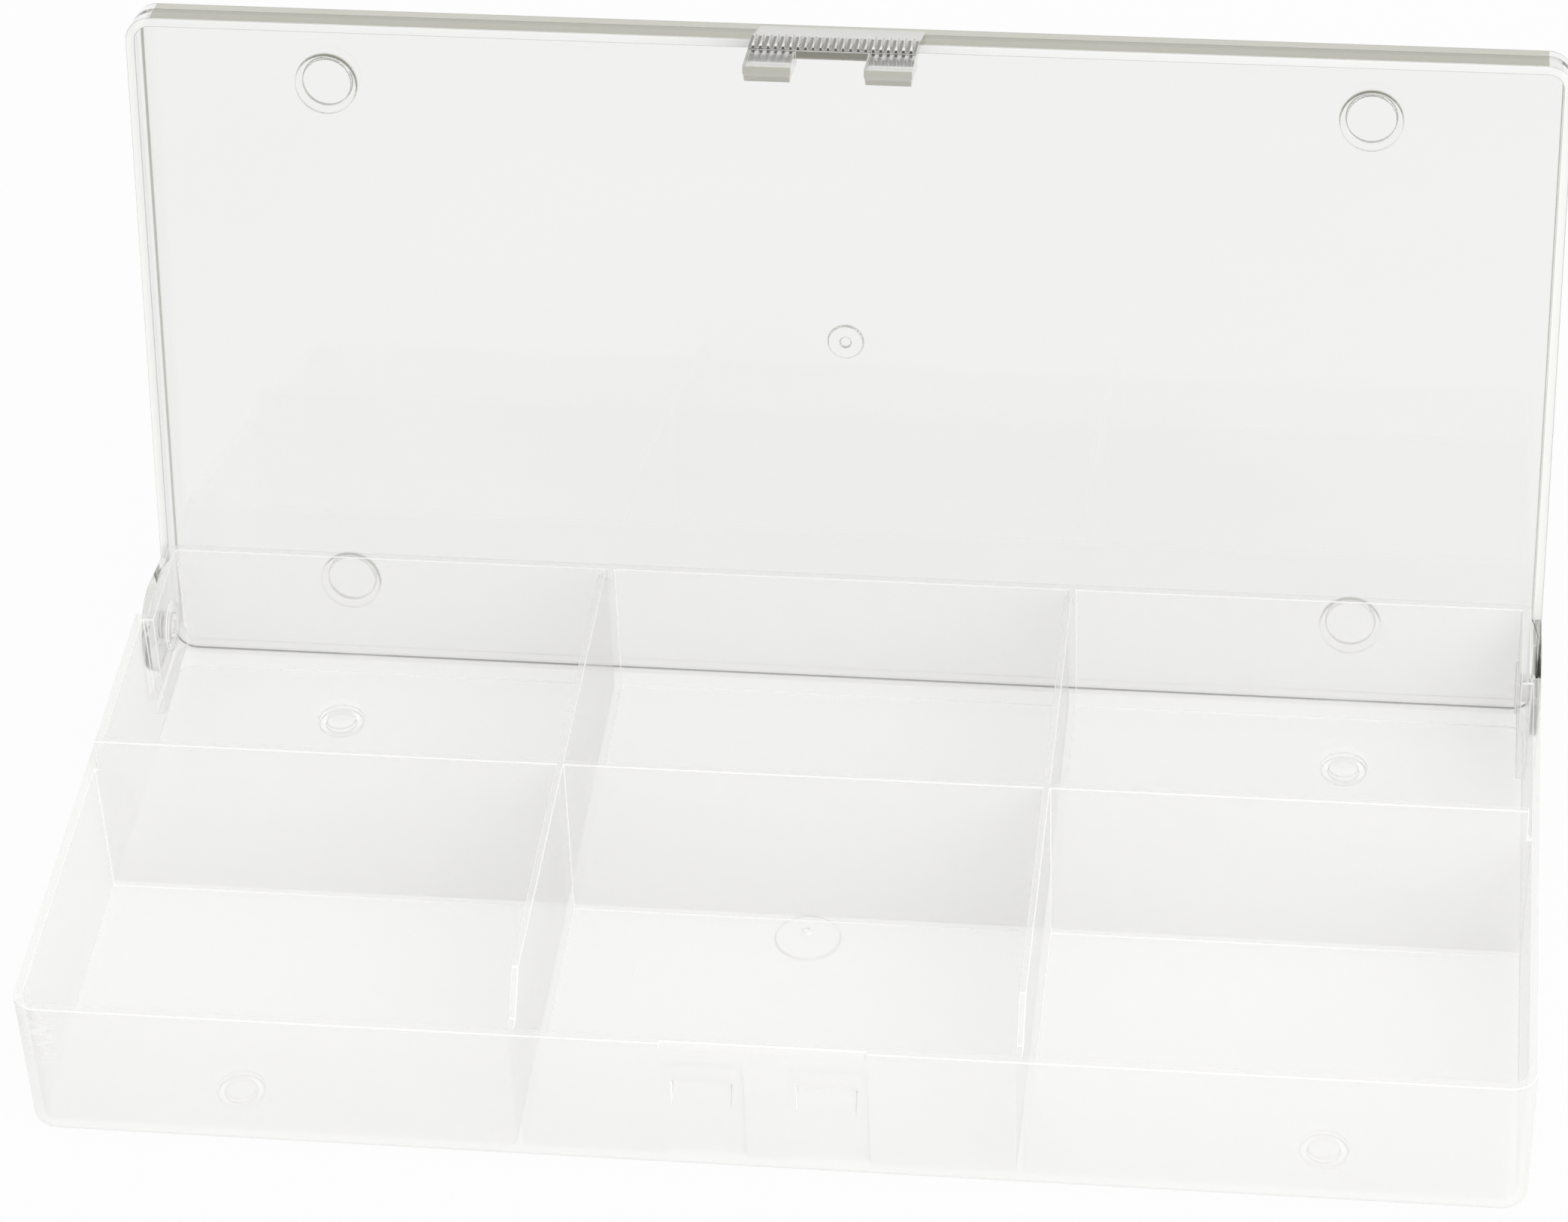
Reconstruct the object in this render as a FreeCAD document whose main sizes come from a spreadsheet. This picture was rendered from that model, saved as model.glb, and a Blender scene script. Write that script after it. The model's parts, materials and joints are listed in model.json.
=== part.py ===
"""Hinged-lid compartment box, lid standing open.

Millimetres, +Z up. The origin is the middle of the four feet, where they stand.
-Y is the front with the latch, +Y the rear with the hinge, -X the left.
The lid and the latch are drawn closed, measured from the hinge axis, and then turned open.
"""
import math
import os

import FreeCAD
import Part
import Sketcher

DIMENSIONS = [
    ("box_width", 200.0, "overall width over the side walls"),
    ("tray_depth", 100.0, "front rim to rear wall, outside"),
    ("rim_height", 22.6, "underside of the floor to the rim"),
    ("tray_wall", 1.3, "tray wall thickness"),
    ("floor_thick", 1.3, "tray floor thickness"),
    ("draft_inset", 0.4, "how far each wall leans in from rim to underside"),
    ("corner_radius", 3.5, "upright outer corners"),
    ("base_round", 1.6, "outer edge of the floor"),
    ("pad_reach", 0.4, "overlap that joins an inner pad to its wall"),
    ("divider_thick", 1.0, "all dividers"),
    ("divider_rise", 5.0, "divider top above the rim"),
    ("long_divider_shift", -0.5, "long divider from the middle of the depth"),
    ("cross_divider_pitch", 66.6, "between the two cross dividers"),
    ("divider_end_gap", 0.5, "raised long divider short of the wall"),
    ("front_landing", 3.2, "cross divider level with the rim, from the front face"),
    ("front_ramp", 4.7, "length of the ramp at the front end of a cross divider"),
    ("rear_landing", 4.0, "cross divider level with the rim, from the rear face"),
    ("rear_ramp", 5.0, "length of the ramp at the rear end of a cross divider"),
    ("foot_side_inset", 27.1, "middle of a foot from the side of the tray"),
    ("foot_end_inset", 10.9, "middle of a foot from the front or rear of the tray"),
    ("foot_diameter", 6.5, "ring foot, outside"),
    ("foot_bore", 4.3, "ring foot, inside"),
    ("foot_height", 0.8, "feet below the underside"),
    ("pivot_inset", 8.9, "hinge axis from the rear face of the tray"),
    ("pivot_drop", 8.0, "hinge axis below the rim"),
    ("peg_diameter", 3.9, "hinge peg"),
    ("peg_clearance", 0.05, "hinge hole larger than the peg, on the radius"),
    ("peg_end_step", 0.1, "peg end below the face of the boss"),
    ("boss_diameter", 7.5, "ring round the hinge hole"),
    ("boss_height", 0.5, "ring above the inner face of the wall"),
    ("open_angle", 101.0, "lid opening from closed"),
    ("lid_overhang", 1.5, "lid past the rear face of the tray"),
    ("lid_plate", 1.4, "lid plate thickness"),
    ("lid_wall", 1.3, "lid wall thickness"),
    ("lid_lift", 0.3, "lid plate above the divider tops"),
    ("lid_edge_round", 1.2, "outer edge of the lid plate"),
    ("stop_gap", 0.3, "rear lip to the rear face of the tray, lid open"),
    ("ear_radius", 6.8, "round end of a hinge ear"),
    ("ear_taper", 1.5, "how much nearer the axis an ear's rear edge is at the lid wall"),
    ("ear_side_gap", 0.3, "ear to the set-in side wall"),
    ("ear_front_gap", 0.7, "round end of an ear to the front of its recess"),
    ("ear_sill_gap", 1.4, "round end of an ear to the sill of its recess"),
    ("socket_clearance", 0.25, "stacking socket larger than a foot, on the radius"),
    ("socket_depth", 1.0, "stacking socket in the lid"),
    ("stack_boss_margin", 0.85, "boss wider than its stacking socket, on the radius"),
    ("stack_boss_height", 1.0, "boss behind a stacking socket"),
    ("latch_width", 23.0, "latch tongue"),
    ("latch_thick", 1.2, "latch tongue"),
    ("latch_gap", 1.2, "latch tongue to the front wall"),
    ("latch_root_rise", 4.8, "upper end of the tongue's root above the rim"),
    ("latch_shoulder", 9.8, "tongue flares out over this length, from the upper end of its root"),
    ("latch_root_height", 4.7, "tongue's root on the lid wall"),
    ("latch_drop", 15.7, "lower end of the latch below the rim"),
    ("window_width", 9.9, "cut-out between the hooks"),
    ("window_height", 6.0, "cut-out from the lower end of the latch"),
    ("hook_side_step", 0.15, "hook narrower than its leg, each side"),
    ("hook_gap", 0.3, "catch face of a hook below the ledge"),
    ("hook_height", 4.2, "catch face to the lower end of a hook's slope"),
    ("hook_lead_depth", 0.95, "bevel at the lower end of a hook, front to rear"),
    ("hook_lead_height", 0.5, "bevel at the lower end of a hook, height"),
    ("hook_reach", 0.65, "hook past the front face of the tray"),
    ("grip_step", 0.1, "grip strip below the tongue's shoulder"),
    ("grip_length", 4.5, "grip strip, upper to lower end"),
    ("grip_base", 0.2, "strip under the grip ribs"),
    ("rib_height", 0.35, "grip rib above its strip"),
    ("rib_width", 0.5, "grip rib"),
    ("rib_margin", 0.5, "outer grip ribs from the sides of the latch"),
    ("rib_count", 22, "grip ribs"),
    ("catch_drop", 6.7, "ledge of a catch pocket below the rim"),
    ("catch_height", 4.5, "catch pocket, ledge to where it runs out"),
    ("catch_side_gap", 0.8, "catch pocket wider than a hook, each side"),
    ("catch_clearance", 0.45, "catch pocket deeper than a hook reaches"),
    ("catch_fade", 0.15, "catch pocket where it runs out"),
    ("catch_pad_margin", 1.3, "thick wall wider than its pocket, each side"),
    ("catch_pad_rise", 1.5, "thick wall above the ledge"),
    ("lead_margin", 2.0, "bevelled rim wider than the latch, each side"),
    ("lead_depth", 0.5, "bevelled rim, front to rear"),
    ("lead_height", 1.3, "bevelled rim, height"),
    ("cut_over", 2.0, "how far a cutting shape runs past the material"),
]

document = FreeCAD.newDocument("compartment_box")
sheet = document.addObject("Spreadsheet::Sheet", "dims")
for row, (alias, number, note) in enumerate(DIMENSIONS, start=1):
    sheet.set("A%d" % row, alias)
    sheet.set("B%d" % row, str(number))
    sheet.set("C%d" % row, note)
    sheet.setAlias("B%d" % row, alias)
document.recompute()


class Size:
    """A length together with the spreadsheet expression that gives it."""

    def __init__(self, value, text):
        self.value = value
        self.text = text

    def __add__(self, other):
        other = as_size(other)
        return Size(self.value + other.value, "(%s + %s)" % (self.text, other.text))

    def __radd__(self, other):
        return as_size(other) + self

    def __sub__(self, other):
        other = as_size(other)
        return Size(self.value - other.value, "(%s - %s)" % (self.text, other.text))

    def __rsub__(self, other):
        return as_size(other) - self

    def __mul__(self, other):
        other = as_size(other)
        return Size(self.value * other.value, "(%s * %s)" % (self.text, other.text))

    def __rmul__(self, other):
        return as_size(other) * self

    def __truediv__(self, other):
        other = as_size(other)
        return Size(self.value / other.value, "(%s / %s)" % (self.text, other.text))

    def __neg__(self):
        return as_size(0) - self


def as_size(number):
    """Give a plain number the form of a Size."""
    if isinstance(number, Size):
        return number
    return Size(float(number), "%s" % float(number))


def cosine(angle):
    """The cosine of an angle in degrees."""
    return Size(math.cos(math.radians(angle.value)), "cos(%s * 1 deg)" % angle.text)


def sine(angle):
    """The sine of an angle in degrees."""
    return Size(math.sin(math.radians(angle.value)), "sin(%s * 1 deg)" % angle.text)


class Dimensions:
    """The sheet's values by name."""

    def __init__(self, rows):
        for alias, number, note in rows:
            setattr(self, alias, Size(float(number), "dims.%s" % alias))


d = Dimensions(DIMENSIONS)
nodes = []


def new_body(label):
    """A body that becomes one node of the part."""
    body = document.addObject("PartDesign::Body", label)
    body.Label = label
    nodes.append(body)
    return body


def new_sketch(body, name, role, offset=None):
    """A sketch on one of the body's origin planes, moved along the plane's normal."""
    plane = [item for item in body.Origin.OriginFeatures if item.Role == role][0]
    sketch = body.newObject("Sketcher::SketchObject", name)
    sketch.AttachmentSupport = (plane, [""])
    sketch.MapMode = "FlatFace"
    if offset is not None:
        sketch.setExpression("AttachmentOffset.Base.z", as_size(offset).text)
    return sketch


def pin_point(sketch, geometry, point, x, y):
    """Hold a point of the sketch at x, y."""
    for kind, axis, size in (("DistanceX", -2, as_size(x)), ("DistanceY", -1, as_size(y))):
        if abs(size.value) < 1e-9:
            sketch.addConstraint(Sketcher.Constraint("PointOnObject", geometry, point, axis))
        else:
            index = sketch.addConstraint(Sketcher.Constraint(kind, -1, 1, geometry, point, size.value))
            sketch.setExpression("Constraints[%d]" % index, size.text)


def add_polygon(sketch, points):
    """A closed outline through the points."""
    first = sketch.GeometryCount
    count = len(points)
    corners = [FreeCAD.Vector(as_size(x).value, as_size(y).value, 0) for x, y in points]
    for i in range(count):
        sketch.addGeometry(Part.LineSegment(corners[i], corners[(i + 1) % count]), False)
    for i in range(count):
        sketch.addConstraint(Sketcher.Constraint("Coincident", first + i, 2, first + (i + 1) % count, 1))
    for i, (x, y) in enumerate(points):
        pin_point(sketch, first + i, 1, x, y)


def add_rectangle(sketch, left, right, low, high):
    """A rectangle with its sides along the sketch axes."""
    add_polygon(sketch, [(left, low), (right, low), (right, high), (left, high)])


def add_rounded_rectangle(sketch, half_x, half_y, radius):
    """A rectangle about the origin with round corners."""
    x, y, r = half_x.value, half_y.value, radius.value
    stations = [(1, -1, -90), (1, 1, 0), (-1, 1, 90), (-1, -1, 180)]
    up = FreeCAD.Vector(0, 0, 1)
    for sx, sy, start in stations:
        circle = Part.Circle(FreeCAD.Vector(sx * (x - r), sy * (y - r), 0), up, r)
        arc = Part.ArcOfCircle(circle, math.radians(start), math.radians(start + 90))
        sketch.addGeometry(arc, False)
    for i in range(4):
        sketch.addGeometry(Part.LineSegment(sketch.getPoint(i, 2), sketch.getPoint((i + 1) % 4, 1)), False)
    for i, (sx, sy, start) in enumerate(stations):
        sketch.addConstraint(Sketcher.Constraint("Tangent", i, 2, 4 + i, 1))
        sketch.addConstraint(Sketcher.Constraint("Tangent", 4 + i, 2, (i + 1) % 4, 1))
        pin_point(sketch, i, 3, sx * (half_x - radius), sy * (half_y - radius))
        size = sketch.addConstraint(Sketcher.Constraint("Radius", i, r))
        sketch.setExpression("Constraints[%d]" % size, radius.text)


def add_circle(sketch, x, y, diameter):
    """A circle about x, y."""
    centre = FreeCAD.Vector(as_size(x).value, as_size(y).value, 0)
    index = sketch.addGeometry(Part.Circle(centre, FreeCAD.Vector(0, 0, 1), diameter.value / 2), False)
    pin_point(sketch, index, 3, x, y)
    size = sketch.addConstraint(Sketcher.Constraint("Diameter", index, diameter.value))
    sketch.setExpression("Constraints[%d]" % size, diameter.text)


def extrude(body, kind, sketch, length, reverse=False):
    """Pad or pocket a sketch."""
    feature = body.newObject("PartDesign::" + kind, sketch.Name + "_" + kind.lower())
    feature.Profile = sketch
    feature.setExpression("Length", as_size(length).text)
    feature.Reversed = reverse
    return feature


def round_edges(body, feature, name, test, radius):
    """Round the edges of a feature whose middle and direction pass a test."""
    document.recompute()
    chosen = []
    for i, edge in enumerate(feature.Shape.Edges, start=1):
        middle = edge.valueAt((edge.FirstParameter + edge.LastParameter) / 2)
        run = edge.Vertexes[-1].Point - edge.Vertexes[0].Point
        if test(middle, run):
            chosen.append("Edge%d" % i)
    fillet = body.newObject("PartDesign::Fillet", name)
    fillet.Base = (feature, chosen)
    fillet.setExpression("Radius", radius.text)
    return fillet


def upright(middle, run):
    """An edge that runs nearly straight up."""
    return abs(run.z) > 0.95 * run.Length and run.Length > 1.0


# Levels and faces that several pieces share, above the underside of the floor.
half_width = d.box_width / 2
front = -(d.tray_depth / 2)
rear = d.tray_depth / 2
divider_top = d.rim_height + d.divider_rise
floor_inset = d.draft_inset * (d.rim_height - d.floor_thick) / d.rim_height
inner_x = half_width - d.tray_wall
inner_y = rear - d.tray_wall
floor_x = inner_x - floor_inset
floor_y = inner_y - floor_inset
pivot_y = rear - d.pivot_inset
pivot_height = d.rim_height - d.pivot_drop
recess_face = half_width - d.lid_wall - d.ear_side_gap
recess_inside = recess_face - d.tray_wall
recess_front = pivot_y - d.ear_radius - d.ear_front_gap
recess_sill = pivot_height - d.ear_radius - d.ear_sill_gap
hole_diameter = d.peg_diameter + 2 * d.peg_clearance
foot_x = half_width - d.foot_side_inset
leg_width = (d.latch_width - d.window_width) / 2
hook_x = (d.latch_width + d.window_width) / 4
hook_width = leg_width - 2 * d.hook_side_step
catch_top = d.rim_height - d.catch_drop
catch_width = hook_width + 2 * d.catch_side_gap
catch_depth = d.hook_reach + d.catch_clearance
catch_pad_width = catch_width + 2 * d.catch_pad_margin
lead_width = d.latch_width + 2 * d.lead_margin
SIDES = (("left", -1), ("right", 1))
ROWS = (("front", front + d.foot_end_inset), ("rear", rear - d.foot_end_inset))


def sided(sign, near, far):
    """The two x values of a span at one side, smaller first."""
    if sign > 0:
        return near, far
    return -far, -near


# Tray shell: drafted outside, cavity, set-in rear side walls, hinge holes, catches.
tray = new_body("tray_shell")
tray_outer = new_sketch(tray, "tray_outer", "XY_Plane")
add_rounded_rectangle(
    tray_outer, half_width - d.draft_inset, rear - d.draft_inset, d.corner_radius - d.draft_inset)
outer = extrude(tray, "Pad", tray_outer, d.rim_height)
outer.setExpression("TaperAngle", "atan(dims.draft_inset / dims.rim_height)")
base = round_edges(tray, outer, "tray_base", lambda m, r: m.z < 0.01, d.base_round)
tray_cavity = new_sketch(tray, "tray_cavity", "XY_Plane", d.floor_thick)
add_rounded_rectangle(
    tray_cavity, floor_x, floor_y, d.corner_radius - d.tray_wall - floor_inset)
cavity = extrude(tray, "Pocket", tray_cavity, d.rim_height - d.floor_thick, True)
cavity.setExpression("TaperAngle", "atan(dims.draft_inset / dims.rim_height)")

for side, sign in SIDES:
    pad_sketch = new_sketch(tray, "recess_pad_" + side, "XY_Plane", recess_sill - d.tray_wall)
    x_low, x_high = sided(sign, recess_inside, inner_x + d.pad_reach / 2)
    add_rectangle(pad_sketch, x_low, x_high, recess_front - d.tray_wall, inner_y + d.pad_reach / 2)
    extrude(tray, "Pad", pad_sketch, d.rim_height - recess_sill + d.tray_wall)

for side, sign in SIDES:
    catch_pad = new_sketch(tray, "catch_pad_" + side, "XY_Plane", d.floor_thick / 2)
    x_low, x_high = sided(sign, hook_x - catch_pad_width / 2, hook_x + catch_pad_width / 2)
    pad_front = front + d.tray_wall - d.pad_reach
    add_rectangle(catch_pad, x_low, x_high, pad_front, front + d.tray_wall + catch_depth)
    extrude(tray, "Pad", catch_pad, catch_top + d.catch_pad_rise - d.floor_thick / 2)

for side, sign in SIDES:
    recess = new_sketch(tray, "recess_" + side, "XY_Plane", recess_sill)
    x_low, x_high = sided(sign, recess_face, half_width + d.cut_over)
    add_rectangle(recess, x_low, x_high, recess_front, rear + d.cut_over)
    extrude(tray, "Pocket", recess, d.rim_height - recess_sill + d.cut_over, True)

for side, sign in SIDES:
    start = sign * recess_face
    hole = new_sketch(tray, "hinge_hole_" + side, "YZ_Plane", start)
    add_circle(hole, pivot_y, pivot_height, hole_diameter)
    extrude(tray, "Pocket", hole, d.tray_wall + d.cut_over, sign < 0)

for side, sign in SIDES:
    x_low, x_high = sided(sign, hook_x - catch_width / 2, hook_x + catch_width / 2)
    catch = new_sketch(tray, "catch_" + side, "YZ_Plane", x_low)
    add_polygon(catch, [
        (front - d.cut_over, catch_top),
        (front - d.cut_over, catch_top - d.catch_height),
        (front + d.catch_fade, catch_top - d.catch_height),
        (front + catch_depth, catch_top),
    ])
    extrude(tray, "Pocket", catch, catch_width, True)

lead = new_sketch(tray, "rim_lead", "YZ_Plane", -(lead_width / 2))
add_polygon(lead, [
    (front - d.lead_depth, d.rim_height - 2 * d.lead_height),
    (front + d.lead_depth, d.rim_height),
    (front - d.lead_depth, d.rim_height),
])
extrude(tray, "Pocket", lead, lead_width, True)

# Dividers, standing on the floor and against the leaning walls.
long_front = d.long_divider_shift - d.divider_thick / 2
long_rear = d.long_divider_shift + d.divider_thick / 2
long_body = new_body("long_divider")
long_sketch = new_sketch(long_body, "long_divider_face", "XZ_Plane", -long_rear)
raised_x = inner_x - d.divider_end_gap
add_polygon(long_sketch, [
    (-floor_x, d.floor_thick),
    (floor_x, d.floor_thick),
    (inner_x, d.rim_height),
    (raised_x, d.rim_height),
    (raised_x, divider_top),
    (-raised_x, divider_top),
    (-raised_x, d.rim_height),
    (-inner_x, d.rim_height),
])
extrude(long_body, "Pad", long_sketch, d.divider_thick)

for side, sign in SIDES:
    x_start = sign * d.cross_divider_pitch / 2 - d.divider_thick / 2
    body = new_body("cross_divider_%s_front" % side)
    sketch = new_sketch(body, body.Label + "_face", "YZ_Plane", x_start)
    add_polygon(sketch, [
        (-floor_y, d.floor_thick),
        (long_front, d.floor_thick),
        (long_front, divider_top),
        (front + d.front_landing + d.front_ramp, divider_top),
        (front + d.front_landing, d.rim_height),
        (-inner_y, d.rim_height),
    ])
    extrude(body, "Pad", sketch, d.divider_thick)
    body = new_body("cross_divider_%s_rear" % side)
    sketch = new_sketch(body, body.Label + "_face", "YZ_Plane", x_start)
    add_polygon(sketch, [
        (long_rear, d.floor_thick),
        (floor_y, d.floor_thick),
        (inner_y, d.rim_height),
        (rear - d.rear_landing, d.rim_height),
        (rear - d.rear_landing - d.rear_ramp, divider_top),
        (long_rear, divider_top),
    ])
    extrude(body, "Pad", sketch, d.divider_thick)

# Ring feet under the floor.
for side, sign in SIDES:
    for row_name, row_y in ROWS:
        body = new_body("foot_%s_%s" % (side, row_name))
        sketch = new_sketch(body, body.Label + "_ring", "XY_Plane")
        add_circle(sketch, sign * foot_x, row_y, d.foot_diameter)
        add_circle(sketch, sign * foot_x, row_y, d.foot_bore)
        extrude(body, "Pad", sketch, d.foot_height, True)

# Hinge bosses on the inside of the set-in walls.
for side, sign in SIDES:
    body = new_body("hinge_boss_" + side)
    sketch = new_sketch(body, body.Label + "_ring", "YZ_Plane", sign * recess_inside)
    add_circle(sketch, pivot_y, pivot_height, d.boss_diameter)
    add_circle(sketch, pivot_y, pivot_height, hole_diameter)
    extrude(body, "Pad", sketch, d.boss_height, sign > 0)

# The lid, measured from the hinge axis with the box closed.
lid_nodes = []


def new_lid_body(label):
    """A body that turns with the lid."""
    body = new_body(label)
    lid_nodes.append(body)
    return body


lid_front = d.pivot_inset - d.tray_depth
lid_rear = d.pivot_inset + d.lid_overhang
lid_low = d.pivot_drop
plate_low = d.pivot_drop + d.divider_rise + d.lid_lift
plate_high = plate_low + d.lid_plate
ear_inside = half_width - d.lid_wall
ear_neck_rear = d.ear_radius - d.ear_taper
open_cos = cosine(d.open_angle)
open_sin = sine(d.open_angle)
lip_low = (d.pivot_inset - lid_rear * open_cos) / open_sin + d.stop_gap
socket_diameter = d.foot_diameter + 2 * d.socket_clearance
stack_boss_diameter = socket_diameter + 2 * d.stack_boss_margin

lid = new_lid_body("lid_shell")
lid_block = new_sketch(lid, "lid_block", "XY_Plane", lid_low)
add_rectangle(lid_block, -half_width, half_width, lid_front, lid_rear)
block = extrude(lid, "Pad", lid_block, plate_high - lid_low)
lid_corners = round_edges(lid, block, "lid_corners", upright, d.corner_radius)
top_level = plate_high.value
lid_edge = round_edges(
    lid, lid_corners, "lid_edge", lambda m, r: abs(m.z - top_level) < 0.01, d.lid_edge_round)
lid_cavity = new_sketch(lid, "lid_cavity", "XY_Plane", lid_low)
add_rectangle(lid_cavity, -ear_inside, ear_inside, lid_front + d.lid_wall, lid_rear - d.lid_wall)
cavity_cut = extrude(lid, "Pocket", lid_cavity, plate_low - lid_low, True)


def lid_inner_corner(middle, run):
    """An upright corner inside the lid."""
    inside = abs(middle.x) < ear_inside.value + 0.01 and middle.y > lid_front.value + 1.0
    return upright(middle, run) and inside and middle.y < lid_rear.value - 1.0


lid_inner = round_edges(
    lid, cavity_cut, "lid_inner_corners", lid_inner_corner, d.corner_radius - d.lid_wall)
rear_cut = new_sketch(lid, "lid_rear_cut", "YZ_Plane", -half_width - d.cut_over)
add_polygon(rear_cut, [
    (ear_neck_rear, lid_low - d.cut_over),
    (lid_rear + d.cut_over, lid_low - d.cut_over),
    (lid_rear + d.cut_over, lip_low),
    (ear_neck_rear, lip_low),
])
extrude(lid, "Pocket", rear_cut, d.box_width + 2 * d.cut_over, True)
sockets = new_sketch(lid, "lid_sockets", "XY_Plane", plate_high)
for side, sign in SIDES:
    for row_name, row_y in ROWS:
        add_circle(sockets, sign * foot_x, row_y - pivot_y, socket_diameter)
extrude(lid, "Pocket", sockets, d.socket_depth)

for side, sign in SIDES:
    x_low, x_high = sided(sign, ear_inside, half_width)
    body = new_lid_body("hinge_ear_" + side)
    sketch = new_sketch(body, body.Label + "_neck", "YZ_Plane", x_low)
    add_polygon(sketch, [
        (-d.ear_radius, 0),
        (d.ear_radius, 0),
        (ear_neck_rear, lid_low),
        (-d.ear_radius, lid_low),
    ])
    extrude(body, "Pad", sketch, d.lid_wall)
    sketch = new_sketch(body, body.Label + "_end", "YZ_Plane", x_low)
    add_circle(sketch, 0, 0, 2 * d.ear_radius)
    extrude(body, "Pad", sketch, d.lid_wall)

for side, sign in SIDES:
    body = new_lid_body("hinge_peg_" + side)
    sketch = new_sketch(body, body.Label + "_round", "YZ_Plane", sign * ear_inside)
    add_circle(sketch, 0, 0, d.peg_diameter)
    peg_length = ear_inside - recess_inside + d.boss_height - d.peg_end_step
    extrude(body, "Pad", sketch, peg_length, sign > 0)

for side, sign in SIDES:
    for row_name, row_y in ROWS:
        body = new_lid_body("stack_boss_%s_%s" % (side, row_name))
        sketch = new_sketch(body, body.Label + "_disc", "XY_Plane", plate_low)
        add_circle(sketch, sign * foot_x, row_y - pivot_y, stack_boss_diameter)
        extrude(body, "Pad", sketch, d.stack_boss_height, True)

# The latch, on the outside of the lid's front wall.
latch_inner = lid_front - d.latch_gap
latch_outer = latch_inner - d.latch_thick
latch_top = d.pivot_drop + d.latch_root_rise
latch_shoulder = latch_top - d.latch_shoulder
latch_tip = d.pivot_drop - d.latch_drop
root_low = latch_top - d.latch_root_height
flare_low = root_low - d.latch_shoulder * d.latch_gap / (d.latch_gap + d.latch_thick)
hook_top = d.pivot_drop - d.catch_drop - d.hook_gap

tongue = new_lid_body("latch_tongue")
tongue_side = new_sketch(tongue, "latch_tongue_side", "YZ_Plane", -(d.latch_width / 2))
add_polygon(tongue_side, [
    (lid_front, latch_top),
    (latch_outer, latch_shoulder),
    (latch_outer, latch_tip),
    (latch_inner, latch_tip),
    (latch_inner, flare_low),
    (lid_front, root_low),
])
extrude(tongue, "Pad", tongue_side, d.latch_width)
window = new_sketch(tongue, "latch_window", "XZ_Plane", -latch_inner)
half_window = d.window_width / 2
add_rectangle(window, -half_window, half_window, latch_tip - d.cut_over, latch_tip + d.window_height)
extrude(tongue, "Pocket", window, d.latch_thick, True)

for side, sign in SIDES:
    body = new_lid_body("latch_hook_" + side)
    sketch = new_sketch(body, body.Label + "_side", "YZ_Plane", sign * hook_x - hook_width / 2)
    add_polygon(sketch, [
        (latch_inner, latch_tip),
        (lid_front - d.hook_lead_depth, latch_tip),
        (lid_front, latch_tip + d.hook_lead_height),
        (lid_front, hook_top - d.hook_height),
        (lid_front + d.hook_reach, hook_top),
        (latch_inner, hook_top),
    ])
    extrude(body, "Pad", sketch, hook_width)

grip = new_lid_body("grip_strip")
grip_high = latch_shoulder - d.grip_step
grip_low = grip_high - d.grip_length
strip = new_sketch(grip, "grip_strip_base", "XZ_Plane", -latch_outer)
add_rectangle(strip, -(d.latch_width / 2), d.latch_width / 2, grip_low, grip_high)
extrude(grip, "Pad", strip, d.grip_base)
rib_left = d.rib_margin - d.latch_width / 2
rib_run = d.latch_width - 2 * d.rib_margin - d.rib_width
rib_sketch = new_sketch(grip, "grip_rib", "XZ_Plane", -latch_outer + d.grip_base)
add_rectangle(rib_sketch, rib_left, rib_left + d.rib_width, grip_low, grip_high)
rib = extrude(grip, "Pad", rib_sketch, d.rib_height)
document.recompute()
ribs = grip.newObject("PartDesign::LinearPattern", "grip_ribs")
ribs.Originals = [rib]
ribs.Direction = (rib_sketch, ["H_Axis"])
ribs.setExpression("Length", rib_run.text)
ribs.setExpression("Occurrences", d.rib_count.text)
grip.Tip = ribs

# Stand the tray on its feet, and turn the lid and the latch open about the hinge axis.
for body in nodes:
    if body not in lid_nodes:
        body.setExpression("Placement.Base.z", d.foot_height.text)
for body in lid_nodes:
    body.Placement.Rotation = FreeCAD.Rotation(FreeCAD.Vector(-1, 0, 0), d.open_angle.value)
    body.setExpression("Placement.Base.y", pivot_y.text)
    body.setExpression("Placement.Base.z", (d.foot_height + pivot_height).text)
    body.setExpression("Placement.Rotation.Axis.x", "-1")
    body.setExpression("Placement.Rotation.Angle", "%s * 1 deg" % d.open_angle.text)
document.recompute()

for item in document.Objects:
    if "Invalid" in item.State or "Error" in item.State:
        raise RuntimeError("%s did not build: %s" % (item.Name, item.State))
os.makedirs("parts", exist_ok=True)
for body in nodes:
    shape = body.Shape
    if shape.isNull() or not shape.isValid() or len(shape.Solids) != 1:
        raise RuntimeError("%s has no sound solid" % body.Label)
    shape.exportStep("parts/%s.step" % body.Label)
    box = shape.BoundBox
    print("%-28s %8.1f mm3  x %.2f..%.2f  y %.2f..%.2f  z %.2f..%.2f" % (
        body.Label, shape.Volume, box.XMin, box.XMax, box.YMin, box.YMax, box.ZMin, box.ZMax))
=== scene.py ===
"""Looks of a shallow compartment box: frosted tray, clear hinged lid and snap latch."""

import json
import math
from contextlib import contextmanager

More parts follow.
